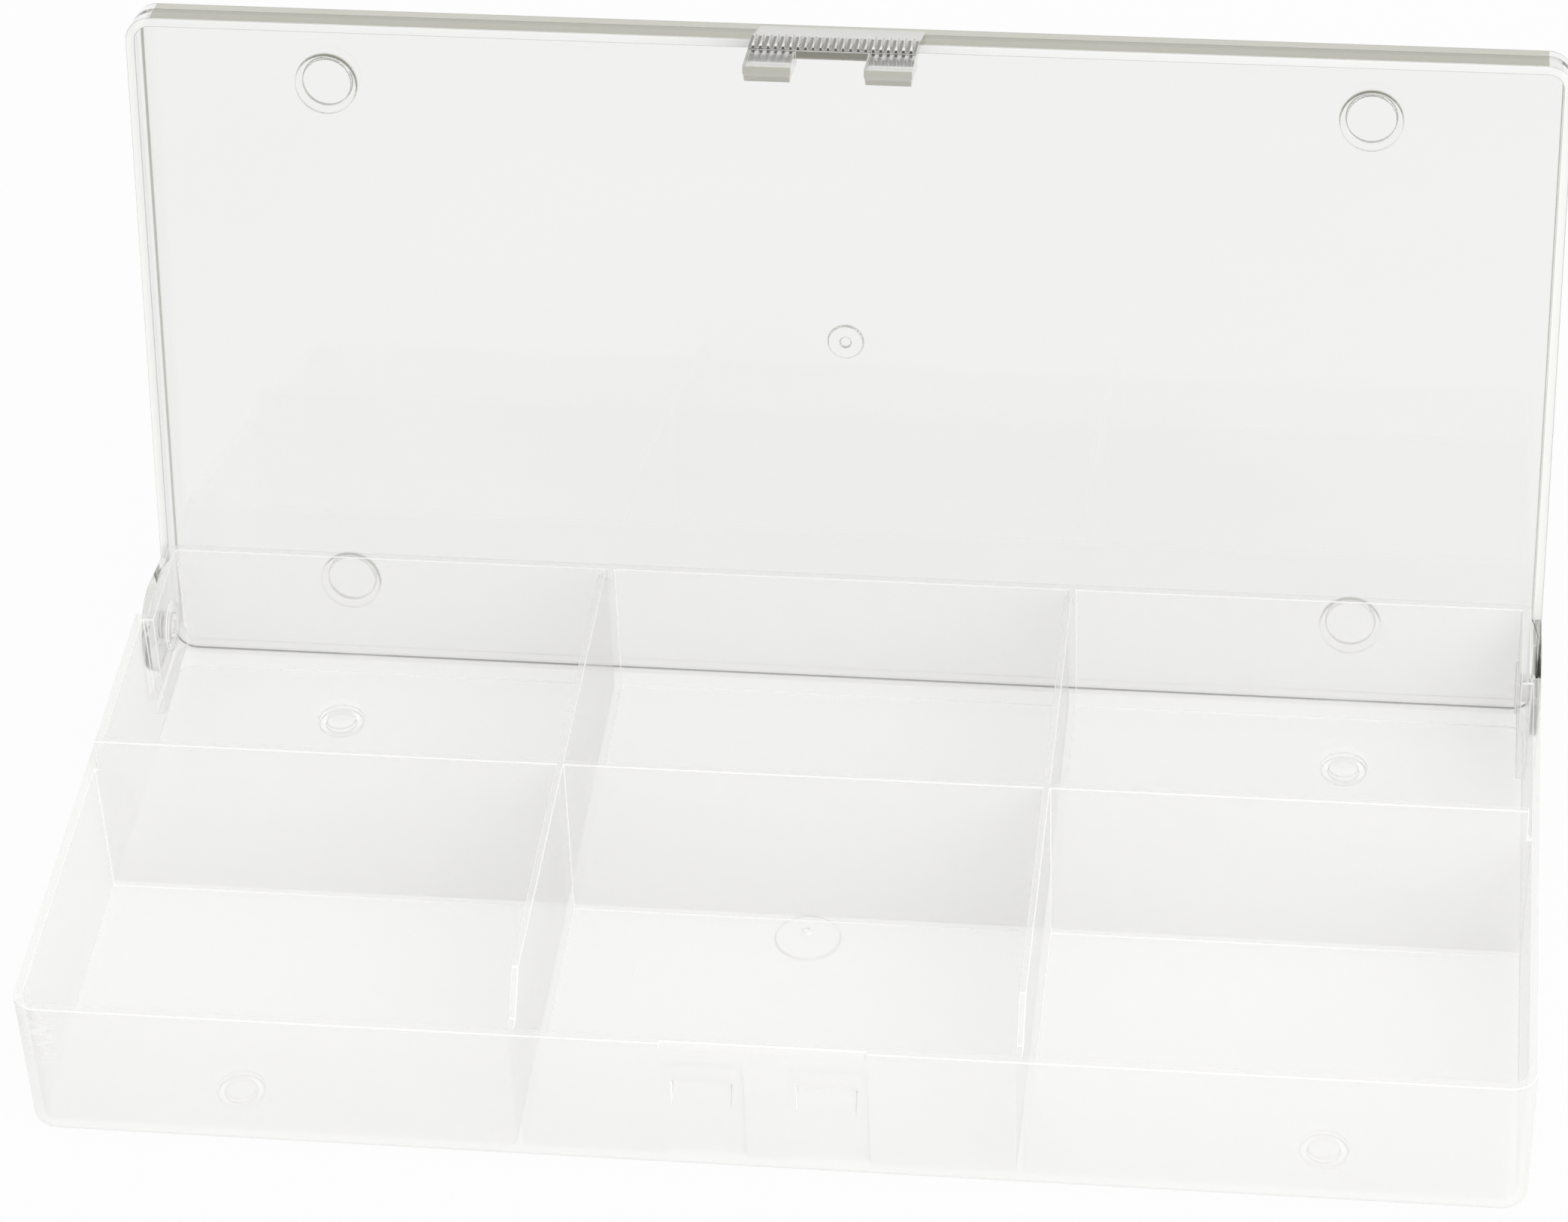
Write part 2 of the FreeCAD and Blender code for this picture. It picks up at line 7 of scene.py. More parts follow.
import bmesh
import bpy
from bpy.props import FloatProperty, FloatVectorProperty, IntProperty, PointerProperty
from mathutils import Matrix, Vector


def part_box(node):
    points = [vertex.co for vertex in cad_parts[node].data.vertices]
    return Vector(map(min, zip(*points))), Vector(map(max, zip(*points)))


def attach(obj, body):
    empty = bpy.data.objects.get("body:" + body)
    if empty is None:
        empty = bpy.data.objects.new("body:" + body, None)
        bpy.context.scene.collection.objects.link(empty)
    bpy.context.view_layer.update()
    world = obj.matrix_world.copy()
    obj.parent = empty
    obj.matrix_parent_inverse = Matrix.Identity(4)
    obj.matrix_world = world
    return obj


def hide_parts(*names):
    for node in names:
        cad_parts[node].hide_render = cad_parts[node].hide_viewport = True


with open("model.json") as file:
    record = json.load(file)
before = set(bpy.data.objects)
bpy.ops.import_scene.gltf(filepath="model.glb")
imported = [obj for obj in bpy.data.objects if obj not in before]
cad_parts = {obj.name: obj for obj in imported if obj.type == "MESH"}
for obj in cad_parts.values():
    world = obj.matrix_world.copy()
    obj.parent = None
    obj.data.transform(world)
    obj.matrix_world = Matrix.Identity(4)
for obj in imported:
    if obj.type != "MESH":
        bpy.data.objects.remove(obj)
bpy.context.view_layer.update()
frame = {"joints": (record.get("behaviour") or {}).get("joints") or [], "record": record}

bl_info = {
    "name": "Compartment Box",
    "version": (1, 0, 0),
    "blender": (4, 5, 0),
    "location": "3D View > Sidebar > Box",
    "description": "Models a frosted compartment tray with a clear hinged lid and a snap latch",
    "category": "Object",
}

# Where the frame puts things: corners of the tray shell, the dividers and the hinge.
TRAY_LOW, TRAY_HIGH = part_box("tray_shell")
RIM, UNDER = TRAY_HIGH.z, TRAY_LOW.z
FRONT, REAR, HALF = TRAY_LOW.y, TRAY_HIGH.y, TRAY_HIGH.x
DIVIDER_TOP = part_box("long_divider")[1].z
HINGE = Vector(frame["joints"][0]["pos_m"])
OPEN = math.radians(frame["joints"][0]["range_deg"][1])
BODIES = frame["record"]["behaviour"]["bodies"]
SIDES = (-1, 1)
FEET = ("foot_left_front", "foot_left_rear", "foot_right_front", "foot_right_rear")

# How far a cutting block runs past the material.
OVER = 0.002

# Places of the materials on each piece; the first is the face and the second the softened edge, which carries
# a painted highlight.
# The tray's feet: nearly clear, a painted brightening.
FOOT_BRIGHTENED = 2
# Lid: a painted highlight on the rim, painted grey shade on the front wall (SIDE), and painted olive shade on
# the round edges and disc rings.
RIM_HIGHLIGHT, SIDE, ROUND_SHADE = 2, 3, 4
# Latch: painted shade on the hook ends, the flare and the window top, and a painted shadow in the grip
# grooves.
HOOK_END_SHADE, GROOVE_SHADOW, FLARE_SHADE = 2, 3, 4

# Bending of light and depth of tint of the clear plastics.
LID_OPTICS = (1.22, 25.0)
LATCH_OPTICS = (1.45, 40.0)

# Light from the surround at the horizon and overhead, the ceiling as it is mirrored, and the lamp.
HORIZON, OVERHEAD, CEILING = 0.86, 0.84, 0.65
LAMP_PLACE, LAMP_SIZE, LAMP_POWER = (0.75, -1.0, 0.9), 1.2, 9.8

# The camera of the photo.
CAMERA_PLACE = (0.076961, -0.573946, 0.517068)
CAMERA_TURN = (51.4767, 1.7788, 6.3878)
CAMERA_LENS = 127.745


def size(name, description, default):
    """A length that a user may change."""
    return FloatProperty(name=name, description=description, default=default, unit="LENGTH", precision=5)


def tint(name, description, default):
    """A colour that a user may change."""
    return FloatVectorProperty(
        name=name, description=description, default=default, subtype="COLOR", min=0.0, max=1.0, size=3)


class TraySizes(bpy.types.PropertyGroup):
    """Sizes of the tray."""

    wall: size("Wall", "Thickness of the walls", 0.0013)
    floor: size("Floor", "Thickness of the floor", 0.0013)
    draft: size("Draft", "How far a wall leans in from rim to underside", 0.0004)
    corner: size("Corner", "Radius of the upright corners", 0.0035)
    base_round: size("Base round", "Radius round the underside", 0.0016)
    front_landing: size("Front landing", "Cross divider level with the rim at the front", 0.0032)
    front_ramp: size("Front ramp", "Slope at the front end of a cross divider", 0.0047)
    rear_landing: size("Rear landing", "Cross divider level with the rim at the rear", 0.004)
    rear_ramp: size("Rear ramp", "Slope at the rear end of a cross divider", 0.005)
    ledge: size("Ledge", "Ledge of a catch pocket below the rim", 0.0067)
    catch_place: size("Catch place", "Middle of a catch pocket from the middle of the tray", 0.008225)
    catch_width: size("Catch width", "Width of a catch pocket", 0.00785)
    catch_height: size("Catch height", "Ledge to where a catch pocket runs out", 0.0045)
    catch_depth: size("Catch depth", "Depth of a catch pocket at its ledge", 0.0011)
    recess: size("Recess", "How far the side walls are set in at the hinge", 0.0016)
    boss: size("Hinge boss", "Radius of the ring round a hinge hole", 0.00375)
    boss_rise: size("Boss rise", "Height of the ring round a hinge hole", 0.0005)
    hole: size("Hinge hole", "Radius of a hinge hole", 0.002)
    foot: size("Foot", "Outer radius of a ring foot", 0.00325)
    foot_bore: size("Foot bore", "Inner radius of a ring foot", 0.00215)
    gate: size("Gate", "Radius of the shallow dish round the moulding gate", 0.0045)
    edge: size("Edge", "Softening of the moulded edges", 0.00016)


class LidSizes(bpy.types.PropertyGroup):
    """Sizes of the lid."""

    wall: size("Wall", "Thickness of the lid's walls", 0.0013)
    plate: size("Plate", "Thickness of the lid's plate", 0.0014)
    lift: size("Lift", "Plate above the divider tops", 0.0003)
    overhang: size("Overhang", "Lid past the rear of the tray", 0.0015)
    corner: size("Corner", "Radius of the upright corners", 0.0035)
    edge_round: size("Edge round", "Radius round the plate", 0.0012)
    lip: size("Lip", "Lower edge of the rear lip above the hinge", 0.01139)
    ear: size("Ear", "Radius of a hinge ear", 0.0068)
    ear_taper: size("Ear taper", "How far an ear's rear edge leans in", 0.0015)
    peg: size("Peg", "Radius of a hinge peg", 0.00195)
    socket: size("Socket", "Radius of a stacking socket", 0.0035)
    socket_depth: size("Socket depth", "Depth of a stacking socket", 0.001)
    disc: size("Disc", "Radius of the disc behind a socket", 0.00435)
    disc_rise: size("Disc rise", "Height of the disc behind a socket", 0.001)
    gate: size("Gate", "Radius of the dish round the moulding gate", 0.0025)
    edge: size("Edge", "Softening of the moulded edges", 0.00012)


class LatchSizes(bpy.types.PropertyGroup):
    """Sizes of the latch."""

    width: size("Width", "Width of the tongue", 0.023)
    thick: size("Thickness", "Thickness of the tongue", 0.0012)
    gap: size("Gap", "Tongue to the front wall", 0.0012)
    crest: size("Crest", "Upper end of the tongue above the rim", 0.0048)
    flare: size("Flare", "Length over which the tongue flares out", 0.0098)
    root: size("Root", "Height of the root on the lid wall", 0.0047)
    drop: size("Drop", "Lower end of the hooks below the rim", 0.0157)
    window: size("Window", "Width of the cut-out between the hooks", 0.0099)
    window_height: size("Window height", "Height of the cut-out", 0.006)
    catch: size("Catch", "Catch face of a hook below the rim", 0.007)
    hook: size("Hook", "Length of a hook's slope", 0.0042)
    reach: size("Reach", "Hook past the front face of the tray", 0.00065)
    lead: size("Lead", "Bevel at the lower end of a hook", 0.00095)
    grip: size("Grip", "Length of the ribbed strip", 0.0045)
    rib: size("Rib", "Width of a grip rib", 0.0005)
    rib_rise: size("Rib rise", "Height of a grip rib", 0.00035)
    ribs: IntProperty(name="Ribs", description="Number of grip ribs", default=22, min=2, max=60)
    edge: size("Edge", "Softening of the moulded edges", 0.00006)


class BoxFinishes(bpy.types.PropertyGroup):
    """Colours of the plastics and the stage, with the painted highlights and shades."""

    frosted: tint("Frosted", "Milky plastic of the tray", (0.985, 0.983, 0.976))
    frosted_clear: tint("Frosted clear", "Light that passes straight through the tray", (0.996, 0.995, 0.991))
    # Painted highlight along the tray's softened edges; the feet take this colour too.
    frosted_highlight: tint("Frosted edge", "Edges of the tray where light gathers", (1.0, 1.0, 1.0))
    clear: tint("Clear", "Clear plastic of the lid", (0.90, 0.899, 0.896))
    # Painted highlight along the softened edges of the lid and latch, and on the lid's rim.
    clear_edge_highlight: tint("Clear edge", "Edges of the lid and latch", (0.98, 0.98, 0.965))
    # Painted shade: the grey of the lid's front wall, seen along its thickness.
    side: tint("Side", "Front wall of the lid, seen along its thickness", (0.78, 0.778, 0.765))
    # Painted shade: dark olive on the lid's round edge, its disc rings, and the latch's flare and window top.
    round: tint("Round", "Round edge of the lid, its disc rings and the latch's flare", (0.34, 0.335, 0.28))
    latch: tint("Latch", "Clear plastic of the latch, thicker than the lid", (0.90, 0.895, 0.875))
    # Painted shade on the ends of the hooks.
    latch_end_shade: tint("Latch end", "Ends of the hooks", (0.84, 0.83, 0.77))
    # Painted shadow in the grooves between the grip ribs.
    groove_shadow: tint("Groove", "Grooves between the grip ribs", (0.16, 0.15, 0.12))
    dust: tint("Dust", "Specks of dust", (0.45, 0.42, 0.36))
    floor: tint("Floor", "Floor under the box", (0.7, 0.7, 0.7))


def nothing_selected():
    """Leave edit mode and clear the selection."""
    if bpy.context.object and bpy.context.object.mode != "OBJECT":
        bpy.ops.object.mode_set(mode="OBJECT")
    bpy.ops.object.select_all(action="DESELECT")


def take(obj):
    """Select one piece and nothing else."""
    nothing_selected()
    bpy.context.view_layer.objects.active = obj
    obj.select_set(True)


def settle(name):
    """Name the new piece and put its place into its mesh."""
    obj = bpy.context.object
    obj.name = obj.data.name = name
    bpy.ops.object.transform_apply(location=True, rotation=True, scale=True)
    return obj


def block(name, low, high):
    """A block between two corners."""
    nothing_selected()
    bpy.ops.mesh.primitive_cube_add(
        size=1, location=[(a + b) / 2 for a, b in zip(low, high)], scale=[b - a for a, b in zip(low, high)])
    return settle(name)


def rod(name, radius, start, end, vertices=48):
    """A rod from one point to another along one of the axes."""
    nothing_selected()
    run = Vector(end) - Vector(start)
    turn = run.to_track_quat("Z", "Y").to_euler()
    bpy.ops.mesh.primitive_cylinder_add(
        vertices=vertices, radius=radius, depth=run.length,
        location=(Vector(start) + Vector(end)) / 2, rotation=turn)
    return settle(name)


@contextmanager
def editing(obj):
    """Edit mode on one piece, with nothing selected in it."""
    take(obj)
    bpy.ops.object.mode_set(mode="EDIT")
    bpy.ops.mesh.select_all(action="DESELECT")
    yield
    bpy.ops.object.mode_set(mode="OBJECT")


def pick(obj, kind, test):
    """Select the points, edges or faces that pass a test on their place, and on their run or normal."""
    bpy.ops.mesh.select_mode(type=kind)
    bpy.ops.mesh.select_all(action="DESELECT")
    mesh = bmesh.from_edit_mesh(obj.data)
    if kind == "VERT":
        for v in mesh.verts:
            v.select_set(bool(test(v.co)))
    elif kind == "EDGE":
        for e in mesh.edges:
            a, b = (v.co for v in e.verts)
            e.select_set(bool(test((a + b) / 2, (b - a).normalized())))
    else:
        for f in mesh.faces:
            f.select_set(bool(test(f.calc_center_median(), f.normal)))
    mesh.select_flush_mode()
    bmesh.update_edit_mesh(obj.data)


def near(a, b):
    """Whether two lengths agree."""
    return abs(a - b) < 2e-6


def push(x=0.0, y=0.0, z=0.0):
    """Extrude what is selected along the axes."""
    bpy.ops.mesh.extrude_region_move(TRANSFORM_OT_translate={"value": (x, y, z)})


def shift(x=0.0, y=0.0, z=0.0):
    """Move what is selected."""
    bpy.ops.transform.translate(value=(x, y, z))


def widen(x=1.0, y=1.0, z=1.0, about=(0, 0, 0)):
    """Scale what is selected about a point."""
    bpy.ops.transform.resize(value=(x, y, z), center_override=about)


def round_off(offset, segments):
    """Round the selected edges."""
    bpy.ops.mesh.bevel(offset=offset, segments=segments, affect="EDGES", clamp_overlap=False)


def combine(obj, tool, operation):
    """Add a block to a piece or cut it out of the piece, and drop the block."""
    take(obj)
    bpy.ops.object.modifier_add(type="BOOLEAN")
    modifier = obj.modifiers[-1]
    modifier.operation, modifier.solver, modifier.object = operation, "EXACT", tool
    bpy.ops.object.modifier_apply(modifier=modifier.name)
    bpy.data.objects.remove(tool)
    if not obj.data.polygons:
        raise RuntimeError("%s was lost while it was shaped" % obj.name)


def add(obj, tool):
    """Add a block to a piece."""
    combine(obj, tool, "UNION")


def cut(obj, tool):
    """Cut a block out of a piece."""
    combine(obj, tool, "DIFFERENCE")


def soften(obj, width, segments=2):
    """Soften the moulded edges; the softened strips take the second material, a painted highlight."""
    take(obj)
    with editing(obj):
        bpy.ops.mesh.select_all(action="SELECT")
        bpy.ops.mesh.remove_doubles(threshold=2e-6)
    bpy.ops.object.modifier_add(type="BEVEL")
    bevel = obj.modifiers[-1]
    bevel.width, bevel.segments, bevel.limit_method = width, segments, "ANGLE"
    bevel.angle_limit, bevel.material, bevel.use_clamp_overlap = math.radians(32), 1, False
    bevel.miter_outer = "MITER_SHARP"
    bpy.ops.object.modifier_apply(modifier=bevel.name)
    bpy.ops.object.shade_smooth_by_angle(angle=math.radians(24))
    bpy.ops.object.modifier_add(type="WEIGHTED_NORMAL")
    flat = obj.modifiers[-1]
    flat.keep_sharp, flat.weight = True, 90
    bpy.ops.object.modifier_apply(modifier=flat.name)


def paint(obj, slot, test):
    """Give the faces that pass a test another of the object's materials."""
    with editing(obj):
        pick(obj, "FACE", test)
        obj.active_material_index = slot
        bpy.ops.object.material_slot_assign()


def turn_open(obj):
    """Turn a piece that was modelled on the shut box with the lid to where it rests."""
    with editing(obj):
        bpy.ops.mesh.select_all(action="SELECT")
        bpy.ops.transform.rotate(value=OPEN, orient_axis="X", orient_type="GLOBAL", center_override=HINGE)


def place(obj, body, slot):
    """Let a finished piece ride on its body and stand for that body's nodes."""
    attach(obj, body)
    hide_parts(*BODIES[body])


class Wire:
    """An output of a node that sums can be written with."""

    def __init__(self, finish, socket):
        self.finish, self.socket = finish, socket

    def beside(self, name):
        """Another output of the same node."""
        return Wire(self.finish, self.socket.node.outputs[name])

    def math(self, operation, first, second):
        return self.finish.node("ShaderNodeMath", {"operation": operation}, {0: first, 1: second})

    def __add__(self, other):
        return self.math("ADD", self, other)

    def __mul__(self, other):
        return self.math("MULTIPLY", self, other)

    def __rsub__(self, other):
        return self.math("SUBTRACT", other, self)

    def __gt__(self, other):
        return self.math("GREATER_THAN", self, other)

    __radd__, __rmul__ = __add__, __mul__


class Finish:
    """The nodes of one material, or of the world."""

    def __init__(self, owner):
        owner.use_nodes = True
        self.owner, self.tree = owner, owner.node_tree
        self.tree.nodes.clear()

    def node(self, kind, settings=None, values=None, output=0):
        """Add a node: its settings first, then the values or wires of its sockets."""
        node = self.tree.nodes.new(kind)
        for key, value in (settings or {}).items():
            setattr(node, key, value)
        for key, value in (values or {}).items():
            if isinstance(value, Wire):
                self.tree.links.new(value.socket, node.inputs[key])
            else:
                node.inputs[key].default_value = value
        return Wire(self, node.outputs[output]) if node.outputs else node

    def spot(self, scale=(1, 1, 1), turn=(0, 0, 0), centre=(0, 0, 0)):
        """The place on the piece, stretched and turned about a centre."""
        at = self.node("ShaderNodeTexCoord", output="Object")
        at = self.node("ShaderNodeVectorMath", {"operation": "SUBTRACT"}, {0: at, 1: centre})
        return self.node("ShaderNodeMapping", {}, {0: at, "Rotation": turn, "Scale": scale})

    def noise(self, at, scale, detail=2.0, rough=0.5):
        """Soft random patches from 0 to 1."""
        return self.node("ShaderNodeTexNoise", {}, {
            "Vector": at, "Scale": scale, "Detail": detail, "Roughness": rough})

    def ramp(self, value, low, high, to_low=0.0, to_high=1.0):
        """A smooth step from one value to another."""
        return self.node("ShaderNodeMapRange", {"interpolation_type": "SMOOTHSTEP"}, {
            "Value": value, "From Min": low, "From Max": high, "To Min": to_low, "To Max": to_high})

    def blend(self, factor, first, second):
        """A colour between two colours."""
        return self.node("ShaderNodeMix", {"data_type": "RGBA"}, {0: factor, 6: first, 7: second}, 2)

    def dust(self, per_metre, radius, share):
        """Specks in a share of the cells of a grid."""
        gap = self.node("ShaderNodeTexVoronoi", {}, {"Vector": self.spot(), "Scale": per_metre}, "Distance")
        chance = self.node("ShaderNodeSeparateColor", {}, {0: gap.beside("Color")}, "Red")
        return self.ramp(gap, radius * per_metre, radius * per_metre * 0.5) * (chance > 1 - share)

    def scuffs(self, turn, level):
        """Fine hairlines from handling, in one direction."""
        line = self.noise(self.spot(scale=(45, 1300, 1300), turn=turn), 1.0, 0.0)
        patch = self.noise(self.spot(), 24.0, 0.0)
        return self.ramp(line, level, level + 0.06) * self.ramp(patch, 0.48, 0.66)

    def plastic(self, colour, roughness, normal, constants):
        """The shader of a plastic."""
        values = {"Base Color": colour, "Roughness": roughness, "Normal": normal}
        return self.node("ShaderNodeBsdfPrincipled", {}, {**values, **constants})

    def close(self, surface, volume=None):
        """Link the surface, and the inside where there is one."""
        values = {"Surface": surface}
        if volume is not None:
            values["Volume"] = volume
        self.node("ShaderNodeOutputMaterial", {}, values)
        return self.owner


def rgba(colour):
    """A colour with full cover."""
    return (*colour, 1.0)


def feet_brightening(f):
    """One on the floor above the ring feet, where the plastic meets the table: it is made clear there, a
    painted brightening, so that the white floor shows through.
    """
    low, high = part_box("foot_right_rear")
    foot = (low + high) / 2
    place = f.node("ShaderNodeVectorMath", {"operation": "ABSOLUTE"}, {0: f.spot(scale=(1, 1, 0))})
    centre = (foot.x, foot.y, 0)
    gap = f.node("ShaderNodeVectorMath", {"operation": "DISTANCE"}, {0: place, 1: centre}, "Value")
    height = f.node("ShaderNodeSeparateXYZ", {}, {0: f.spot()}, "Z")
    ring = f.ramp(gap, 0.0034, 0.0031) * f.ramp(gap, 0.0019, 0.0022)
    below = f.ramp(height, UNDER + 0.0018, UNDER + 0.0015)
    return ring * below * f.ramp(height, UNDER + 0.0008, UNDER + 0.0011)


def frosted_finish(name, look, colour, cover):
    """Milky tray plastic: fine grain, cloudy patches, hairlines, dust and one whitened corner."""
    f = Finish(bpy.data.materials.new(name))
    cloud = f.noise(f.spot(), 26.0, 1.0)
    grain = f.noise(f.spot(), 1700.0, 0.0)
    lines = f.scuffs((0.3, 0.2, 0.5), 0.68)
    dust = f.dust(95.0, 0.0002, 0.16)
    # The front-left corner by the rim is made whiter, rougher and milkier in flecks.
    corner = f.spot(centre=(-HALF, FRONT, RIM - 0.004), scale=(1.0, 1.0, 0.8))
    corner = f.node("ShaderNodeVectorMath", {"operation": "LENGTH"}, {0: corner}, "Value")
    corner_flecks = f.noise(f.spot(scale=(1.0, 1.0, 2.2)), 420.0, 2.0, 0.65)
    whitened_corner = f.ramp(corner, 0.007, 0.002) * f.ramp(corner_flecks, 0.42, 0.58)
    body = f.blend(f.ramp(cloud, 0.3, 0.7), rgba(tuple(c * 0.985 for c in colour)), rgba(colour))
    body = f.blend(dust, body, rgba(look.dust))
    body = f.blend(whitened_corner, body, (1.0, 1.0, 1.0, 1.0))
    roughness = 0.36 + 0.1 * cloud + 0.04 * lines + 0.3 * whitened_corner
    # Milkier in the cloudy patches, the dust and the whitened corner; nearly clear above the feet, a painted
    # brightening.
    milk = (cover + 0.06 * cloud + 0.4 * dust + 0.4 * whitened_corner) * (1 - 0.95 * feet_brightening(f))
    normal = f.node("ShaderNodeBump", {}, {"Strength": 0.1, "Distance": 0.0001, "Height": grain})
    shader = f.plastic(body, roughness, normal, {"IOR": 1.42})
    clear = f.node("ShaderNodeBsdfTransparent", {}, {"Color": rgba(look.frosted_clear)})
    return f.close(f.node("ShaderNodeMixShader", {}, {0: milk, 1: clear, 2: shader}))


def clear_finish(name, look, colour, roughness, clearness, bend, depth):
    """Clear lid plastic: glossy, faintly wavy, with hairlines, smears and dust."""
    f = Finish(bpy.data.materials.new(name))
    wave = f.noise(f.spot(), 38.0, 0.0)
    smear = f.noise(f.spot(scale=(1.0, 1.6, 1.6)), 17.0, 2.0, 0.6)
    lines = f.scuffs((0.4, 0.0, 0.9), 0.68)
    dust = f.dust(62.0, 0.00024, 0.14)
    body = f.blend(f.ramp(smear, 0.35, 0.7), rgba(colour), rgba(tuple(c * 0.988 for c in colour)))
    body = f.blend(dust, body, rgba(look.dust))
    gloss = roughness + 0.035 * f.ramp(smear, 0.4, 0.75) + 0.1 * lines + 0.3 * dust
    normal = f.node("ShaderNodeBump", {}, {"Strength": 0.06, "Distance": 0.0006, "Height": wave})
    shader = f.plastic(body, gloss, normal, {
        "Transmission Weight": clearness, "IOR": bend,
        "Coat Weight": 0.9, "Coat IOR": 1.5, "Coat Roughness": 0.03})
    inside = f.node("ShaderNodeVolumeAbsorption", {}, {"Color": (0.84, 0.838, 0.78, 1.0), "Density": depth})
    return f.close(shader, inside)


class BOX_OT_tray(bpy.types.Operator):
    """Model the frosted tray with its dividers, hinge recesses, catches and feet"""

    bl_idname = "box.tray"
    bl_label = "Tray"

    def execute(self, context):
        t = context.scene.tray_sizes
        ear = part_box("hinge_ear_right")[0]
        self.recess_front, self.sill = ear.y - 0.0007, ear.z - 0.0014
        tray = self.shell(t)
        self.compartments(tray, t)
        self.dividers(tray, t)
        self.hinge_sides(tray, t)
        self.catches(tray, t)
        self.underside(tray, t)
        look = context.scene.box_finishes
        for name, colour, cover in (
                ("tray_frosted", look.frosted, 0.24),
                # Whiter and milkier: a painted highlight along the softened edges.
                ("tray_edge_highlight", look.frosted_highlight, 0.8),
                # Nearly clear: a painted brightening of the feet where they stand on the floor.
                ("tray_foot_brightened", look.frosted_highlight, 0.04)):
            tray.data.materials.append(frosted_finish(name, look, tuple(colour), cover))
        # The feet take the nearly clear material, a painted brightening.
        paint(tray, FOOT_BRIGHTENED, lambda at, n: at.z < UNDER - 0.0001)
        soften(tray, t.edge)
        place(tray, "tray", "tray_frosted")
        return {"FINISHED"}

    def shell(self, t):
        """A solid with walls that lean in, round corners and a round underside."""
        tray = block("tray", TRAY_LOW, TRAY_HIGH)
        deep = (REAR - FRONT) / 2
        with editing(tray):
            pick(tray, "VERT", lambda p: near(p.z, UNDER))
            widen(x=1 - t.draft / HALF, y=1 - t.draft / deep, about=(0, 0, UNDER))
            pick(tray, "EDGE", lambda p, run: abs(run.z) > 0.9)
            round_off(t.corner, 7)
            pick(tray, "EDGE", lambda p, run: near(p.z, UNDER))
            round_off(t.base_round, 4)
        return tray

    def compartments(self, tray, t):
        """Six hollows; those by the hinge leave room for set-in walls, the front one for thick wall."""
        wide, deep = HALF - t.wall, REAR - t.wall
        long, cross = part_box("long_divider"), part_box("cross_divider_right_front")
        columns = ((-wide, -cross[1].x), (-cross[0].x, cross[0].x), (cross[1].x, wide))
        rows = ((-deep, long[0].y), (long[1].y, deep))
        for left, right in columns:
            for front, rear in rows:
                hollow = self.hollow(t, left, right, front, rear)
                side = (right > HALF / 2) - (left < -HALF / 2)
                if side and rear == deep:
                    a, b = sorted((side * (HALF - t.recess - t.wall), side * (HALF + OVER)))
                    cut(hollow, block("set_in", (a, self.recess_front - t.wall, self.sill - t.wall),
                                      (b, REAR + OVER, RIM + 0.006)))
                if not side and front == -deep:
                    for s in SIDES:
                        middle, half = s * t.catch_place, t.catch_width / 2 + 0.0013
                        inner = FRONT + t.wall + t.catch_depth
                        cut(hollow, block("thick", (middle - half, FRONT - OVER, UNDER - 0.001),
                                          (middle + half, inner, RIM - t.ledge + 0.0015)))
                cut(tray, hollow)

    def hollow(self, t, left, right, front, rear):
        """The inside of one compartment; its sides at the tray's walls lean with them."""
        floor, over = UNDER + t.floor, 0.003
        wide, deep = HALF - t.wall, REAR - t.wall
        hollow = block("hollow", (left, front, floor), (right, rear, RIM + over))
        with editing(hollow):
            for z in (floor, RIM + over):
                lean = t.draft * (RIM - z) / (RIM - UNDER)
                for s in SIDES:
                    pick(hollow, "VERT", lambda p: near(p.z, z) and near(p.x, s * wide))
                    shift(x=-s * lean)
                    pick(hollow, "VERT", lambda p: near(p.z, z) and near(p.y, s * deep))
                    shift(y=-s * lean)
            pick(hollow, "EDGE", lambda p, run: (
                abs(run.z) > 0.9 and abs(p.x) > wide - 0.002 and abs(p.y) > deep - 0.002))
            round_off(t.corner - t.wall, 7)
        return hollow

    def dividers(self, tray, t):
        """Dividers drawn up above the rim; the cross dividers slope down to it at the walls."""
        long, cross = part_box("long_divider"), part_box("cross_divider_right_front")
        top, ends = long[1].z, HALF - t.wall - 0.0005
        front, rear = FRONT + t.front_landing, REAR - t.rear_landing
        lines = [((0, y, 0), (0, 1, 0)) for y in (front, long[0].y, long[1].y, rear)]
        lines += [((s * x, 0, 0), (1, 0, 0)) for s in SIDES for x in (cross[0].x, cross[1].x, ends)]
        with editing(tray):
            for place, across in lines:
                pick(tray, "FACE", lambda p, n: n.z > 0.9 and near(p.z, RIM))
                bpy.ops.mesh.bisect(plane_co=place, plane_no=across, threshold=1e-6)
            pick(tray, "FACE", lambda p, n: n.z > 0.9 and near(p.z, RIM) and (
                abs(p.x) < ends and long[0].y < p.y < long[1].y
                or cross[0].x < abs(p.x) < cross[1].x and front < p.y < rear))
            push(z=top - RIM)
            pick(tray, "VERT", lambda p: near(p.z, top) and near(p.y, front))
            shift(y=t.front_ramp)
            pick(tray, "VERT", lambda p: near(p.z, top) and near(p.y, rear))
            shift(y=-t.rear_ramp)

    def hinge_sides(self, tray, t):
        """Side walls set in at the rear, so that the hinge ears lie flush, with a ringed hole each."""
        face = HALF - t.recess
        inner = face - t.wall
        for s in SIDES:
            a, b = sorted((s * face, s * (HALF + OVER)))
            cut(tray, block("recess", (a, self.recess_front, self.sill), (b, REAR + OVER, RIM + OVER)))
            add(tray, rod("ring", t.boss, (s * (inner + 0.0004), HINGE.y, HINGE.z),
                          (s * (inner - t.boss_rise), HINGE.y, HINGE.z)))
            cut(tray, rod("hole", t.hole, (s * (face + 0.0005), HINGE.y, HINGE.z),
                          (s * (inner - 0.003), HINGE.y, HINGE.z)))

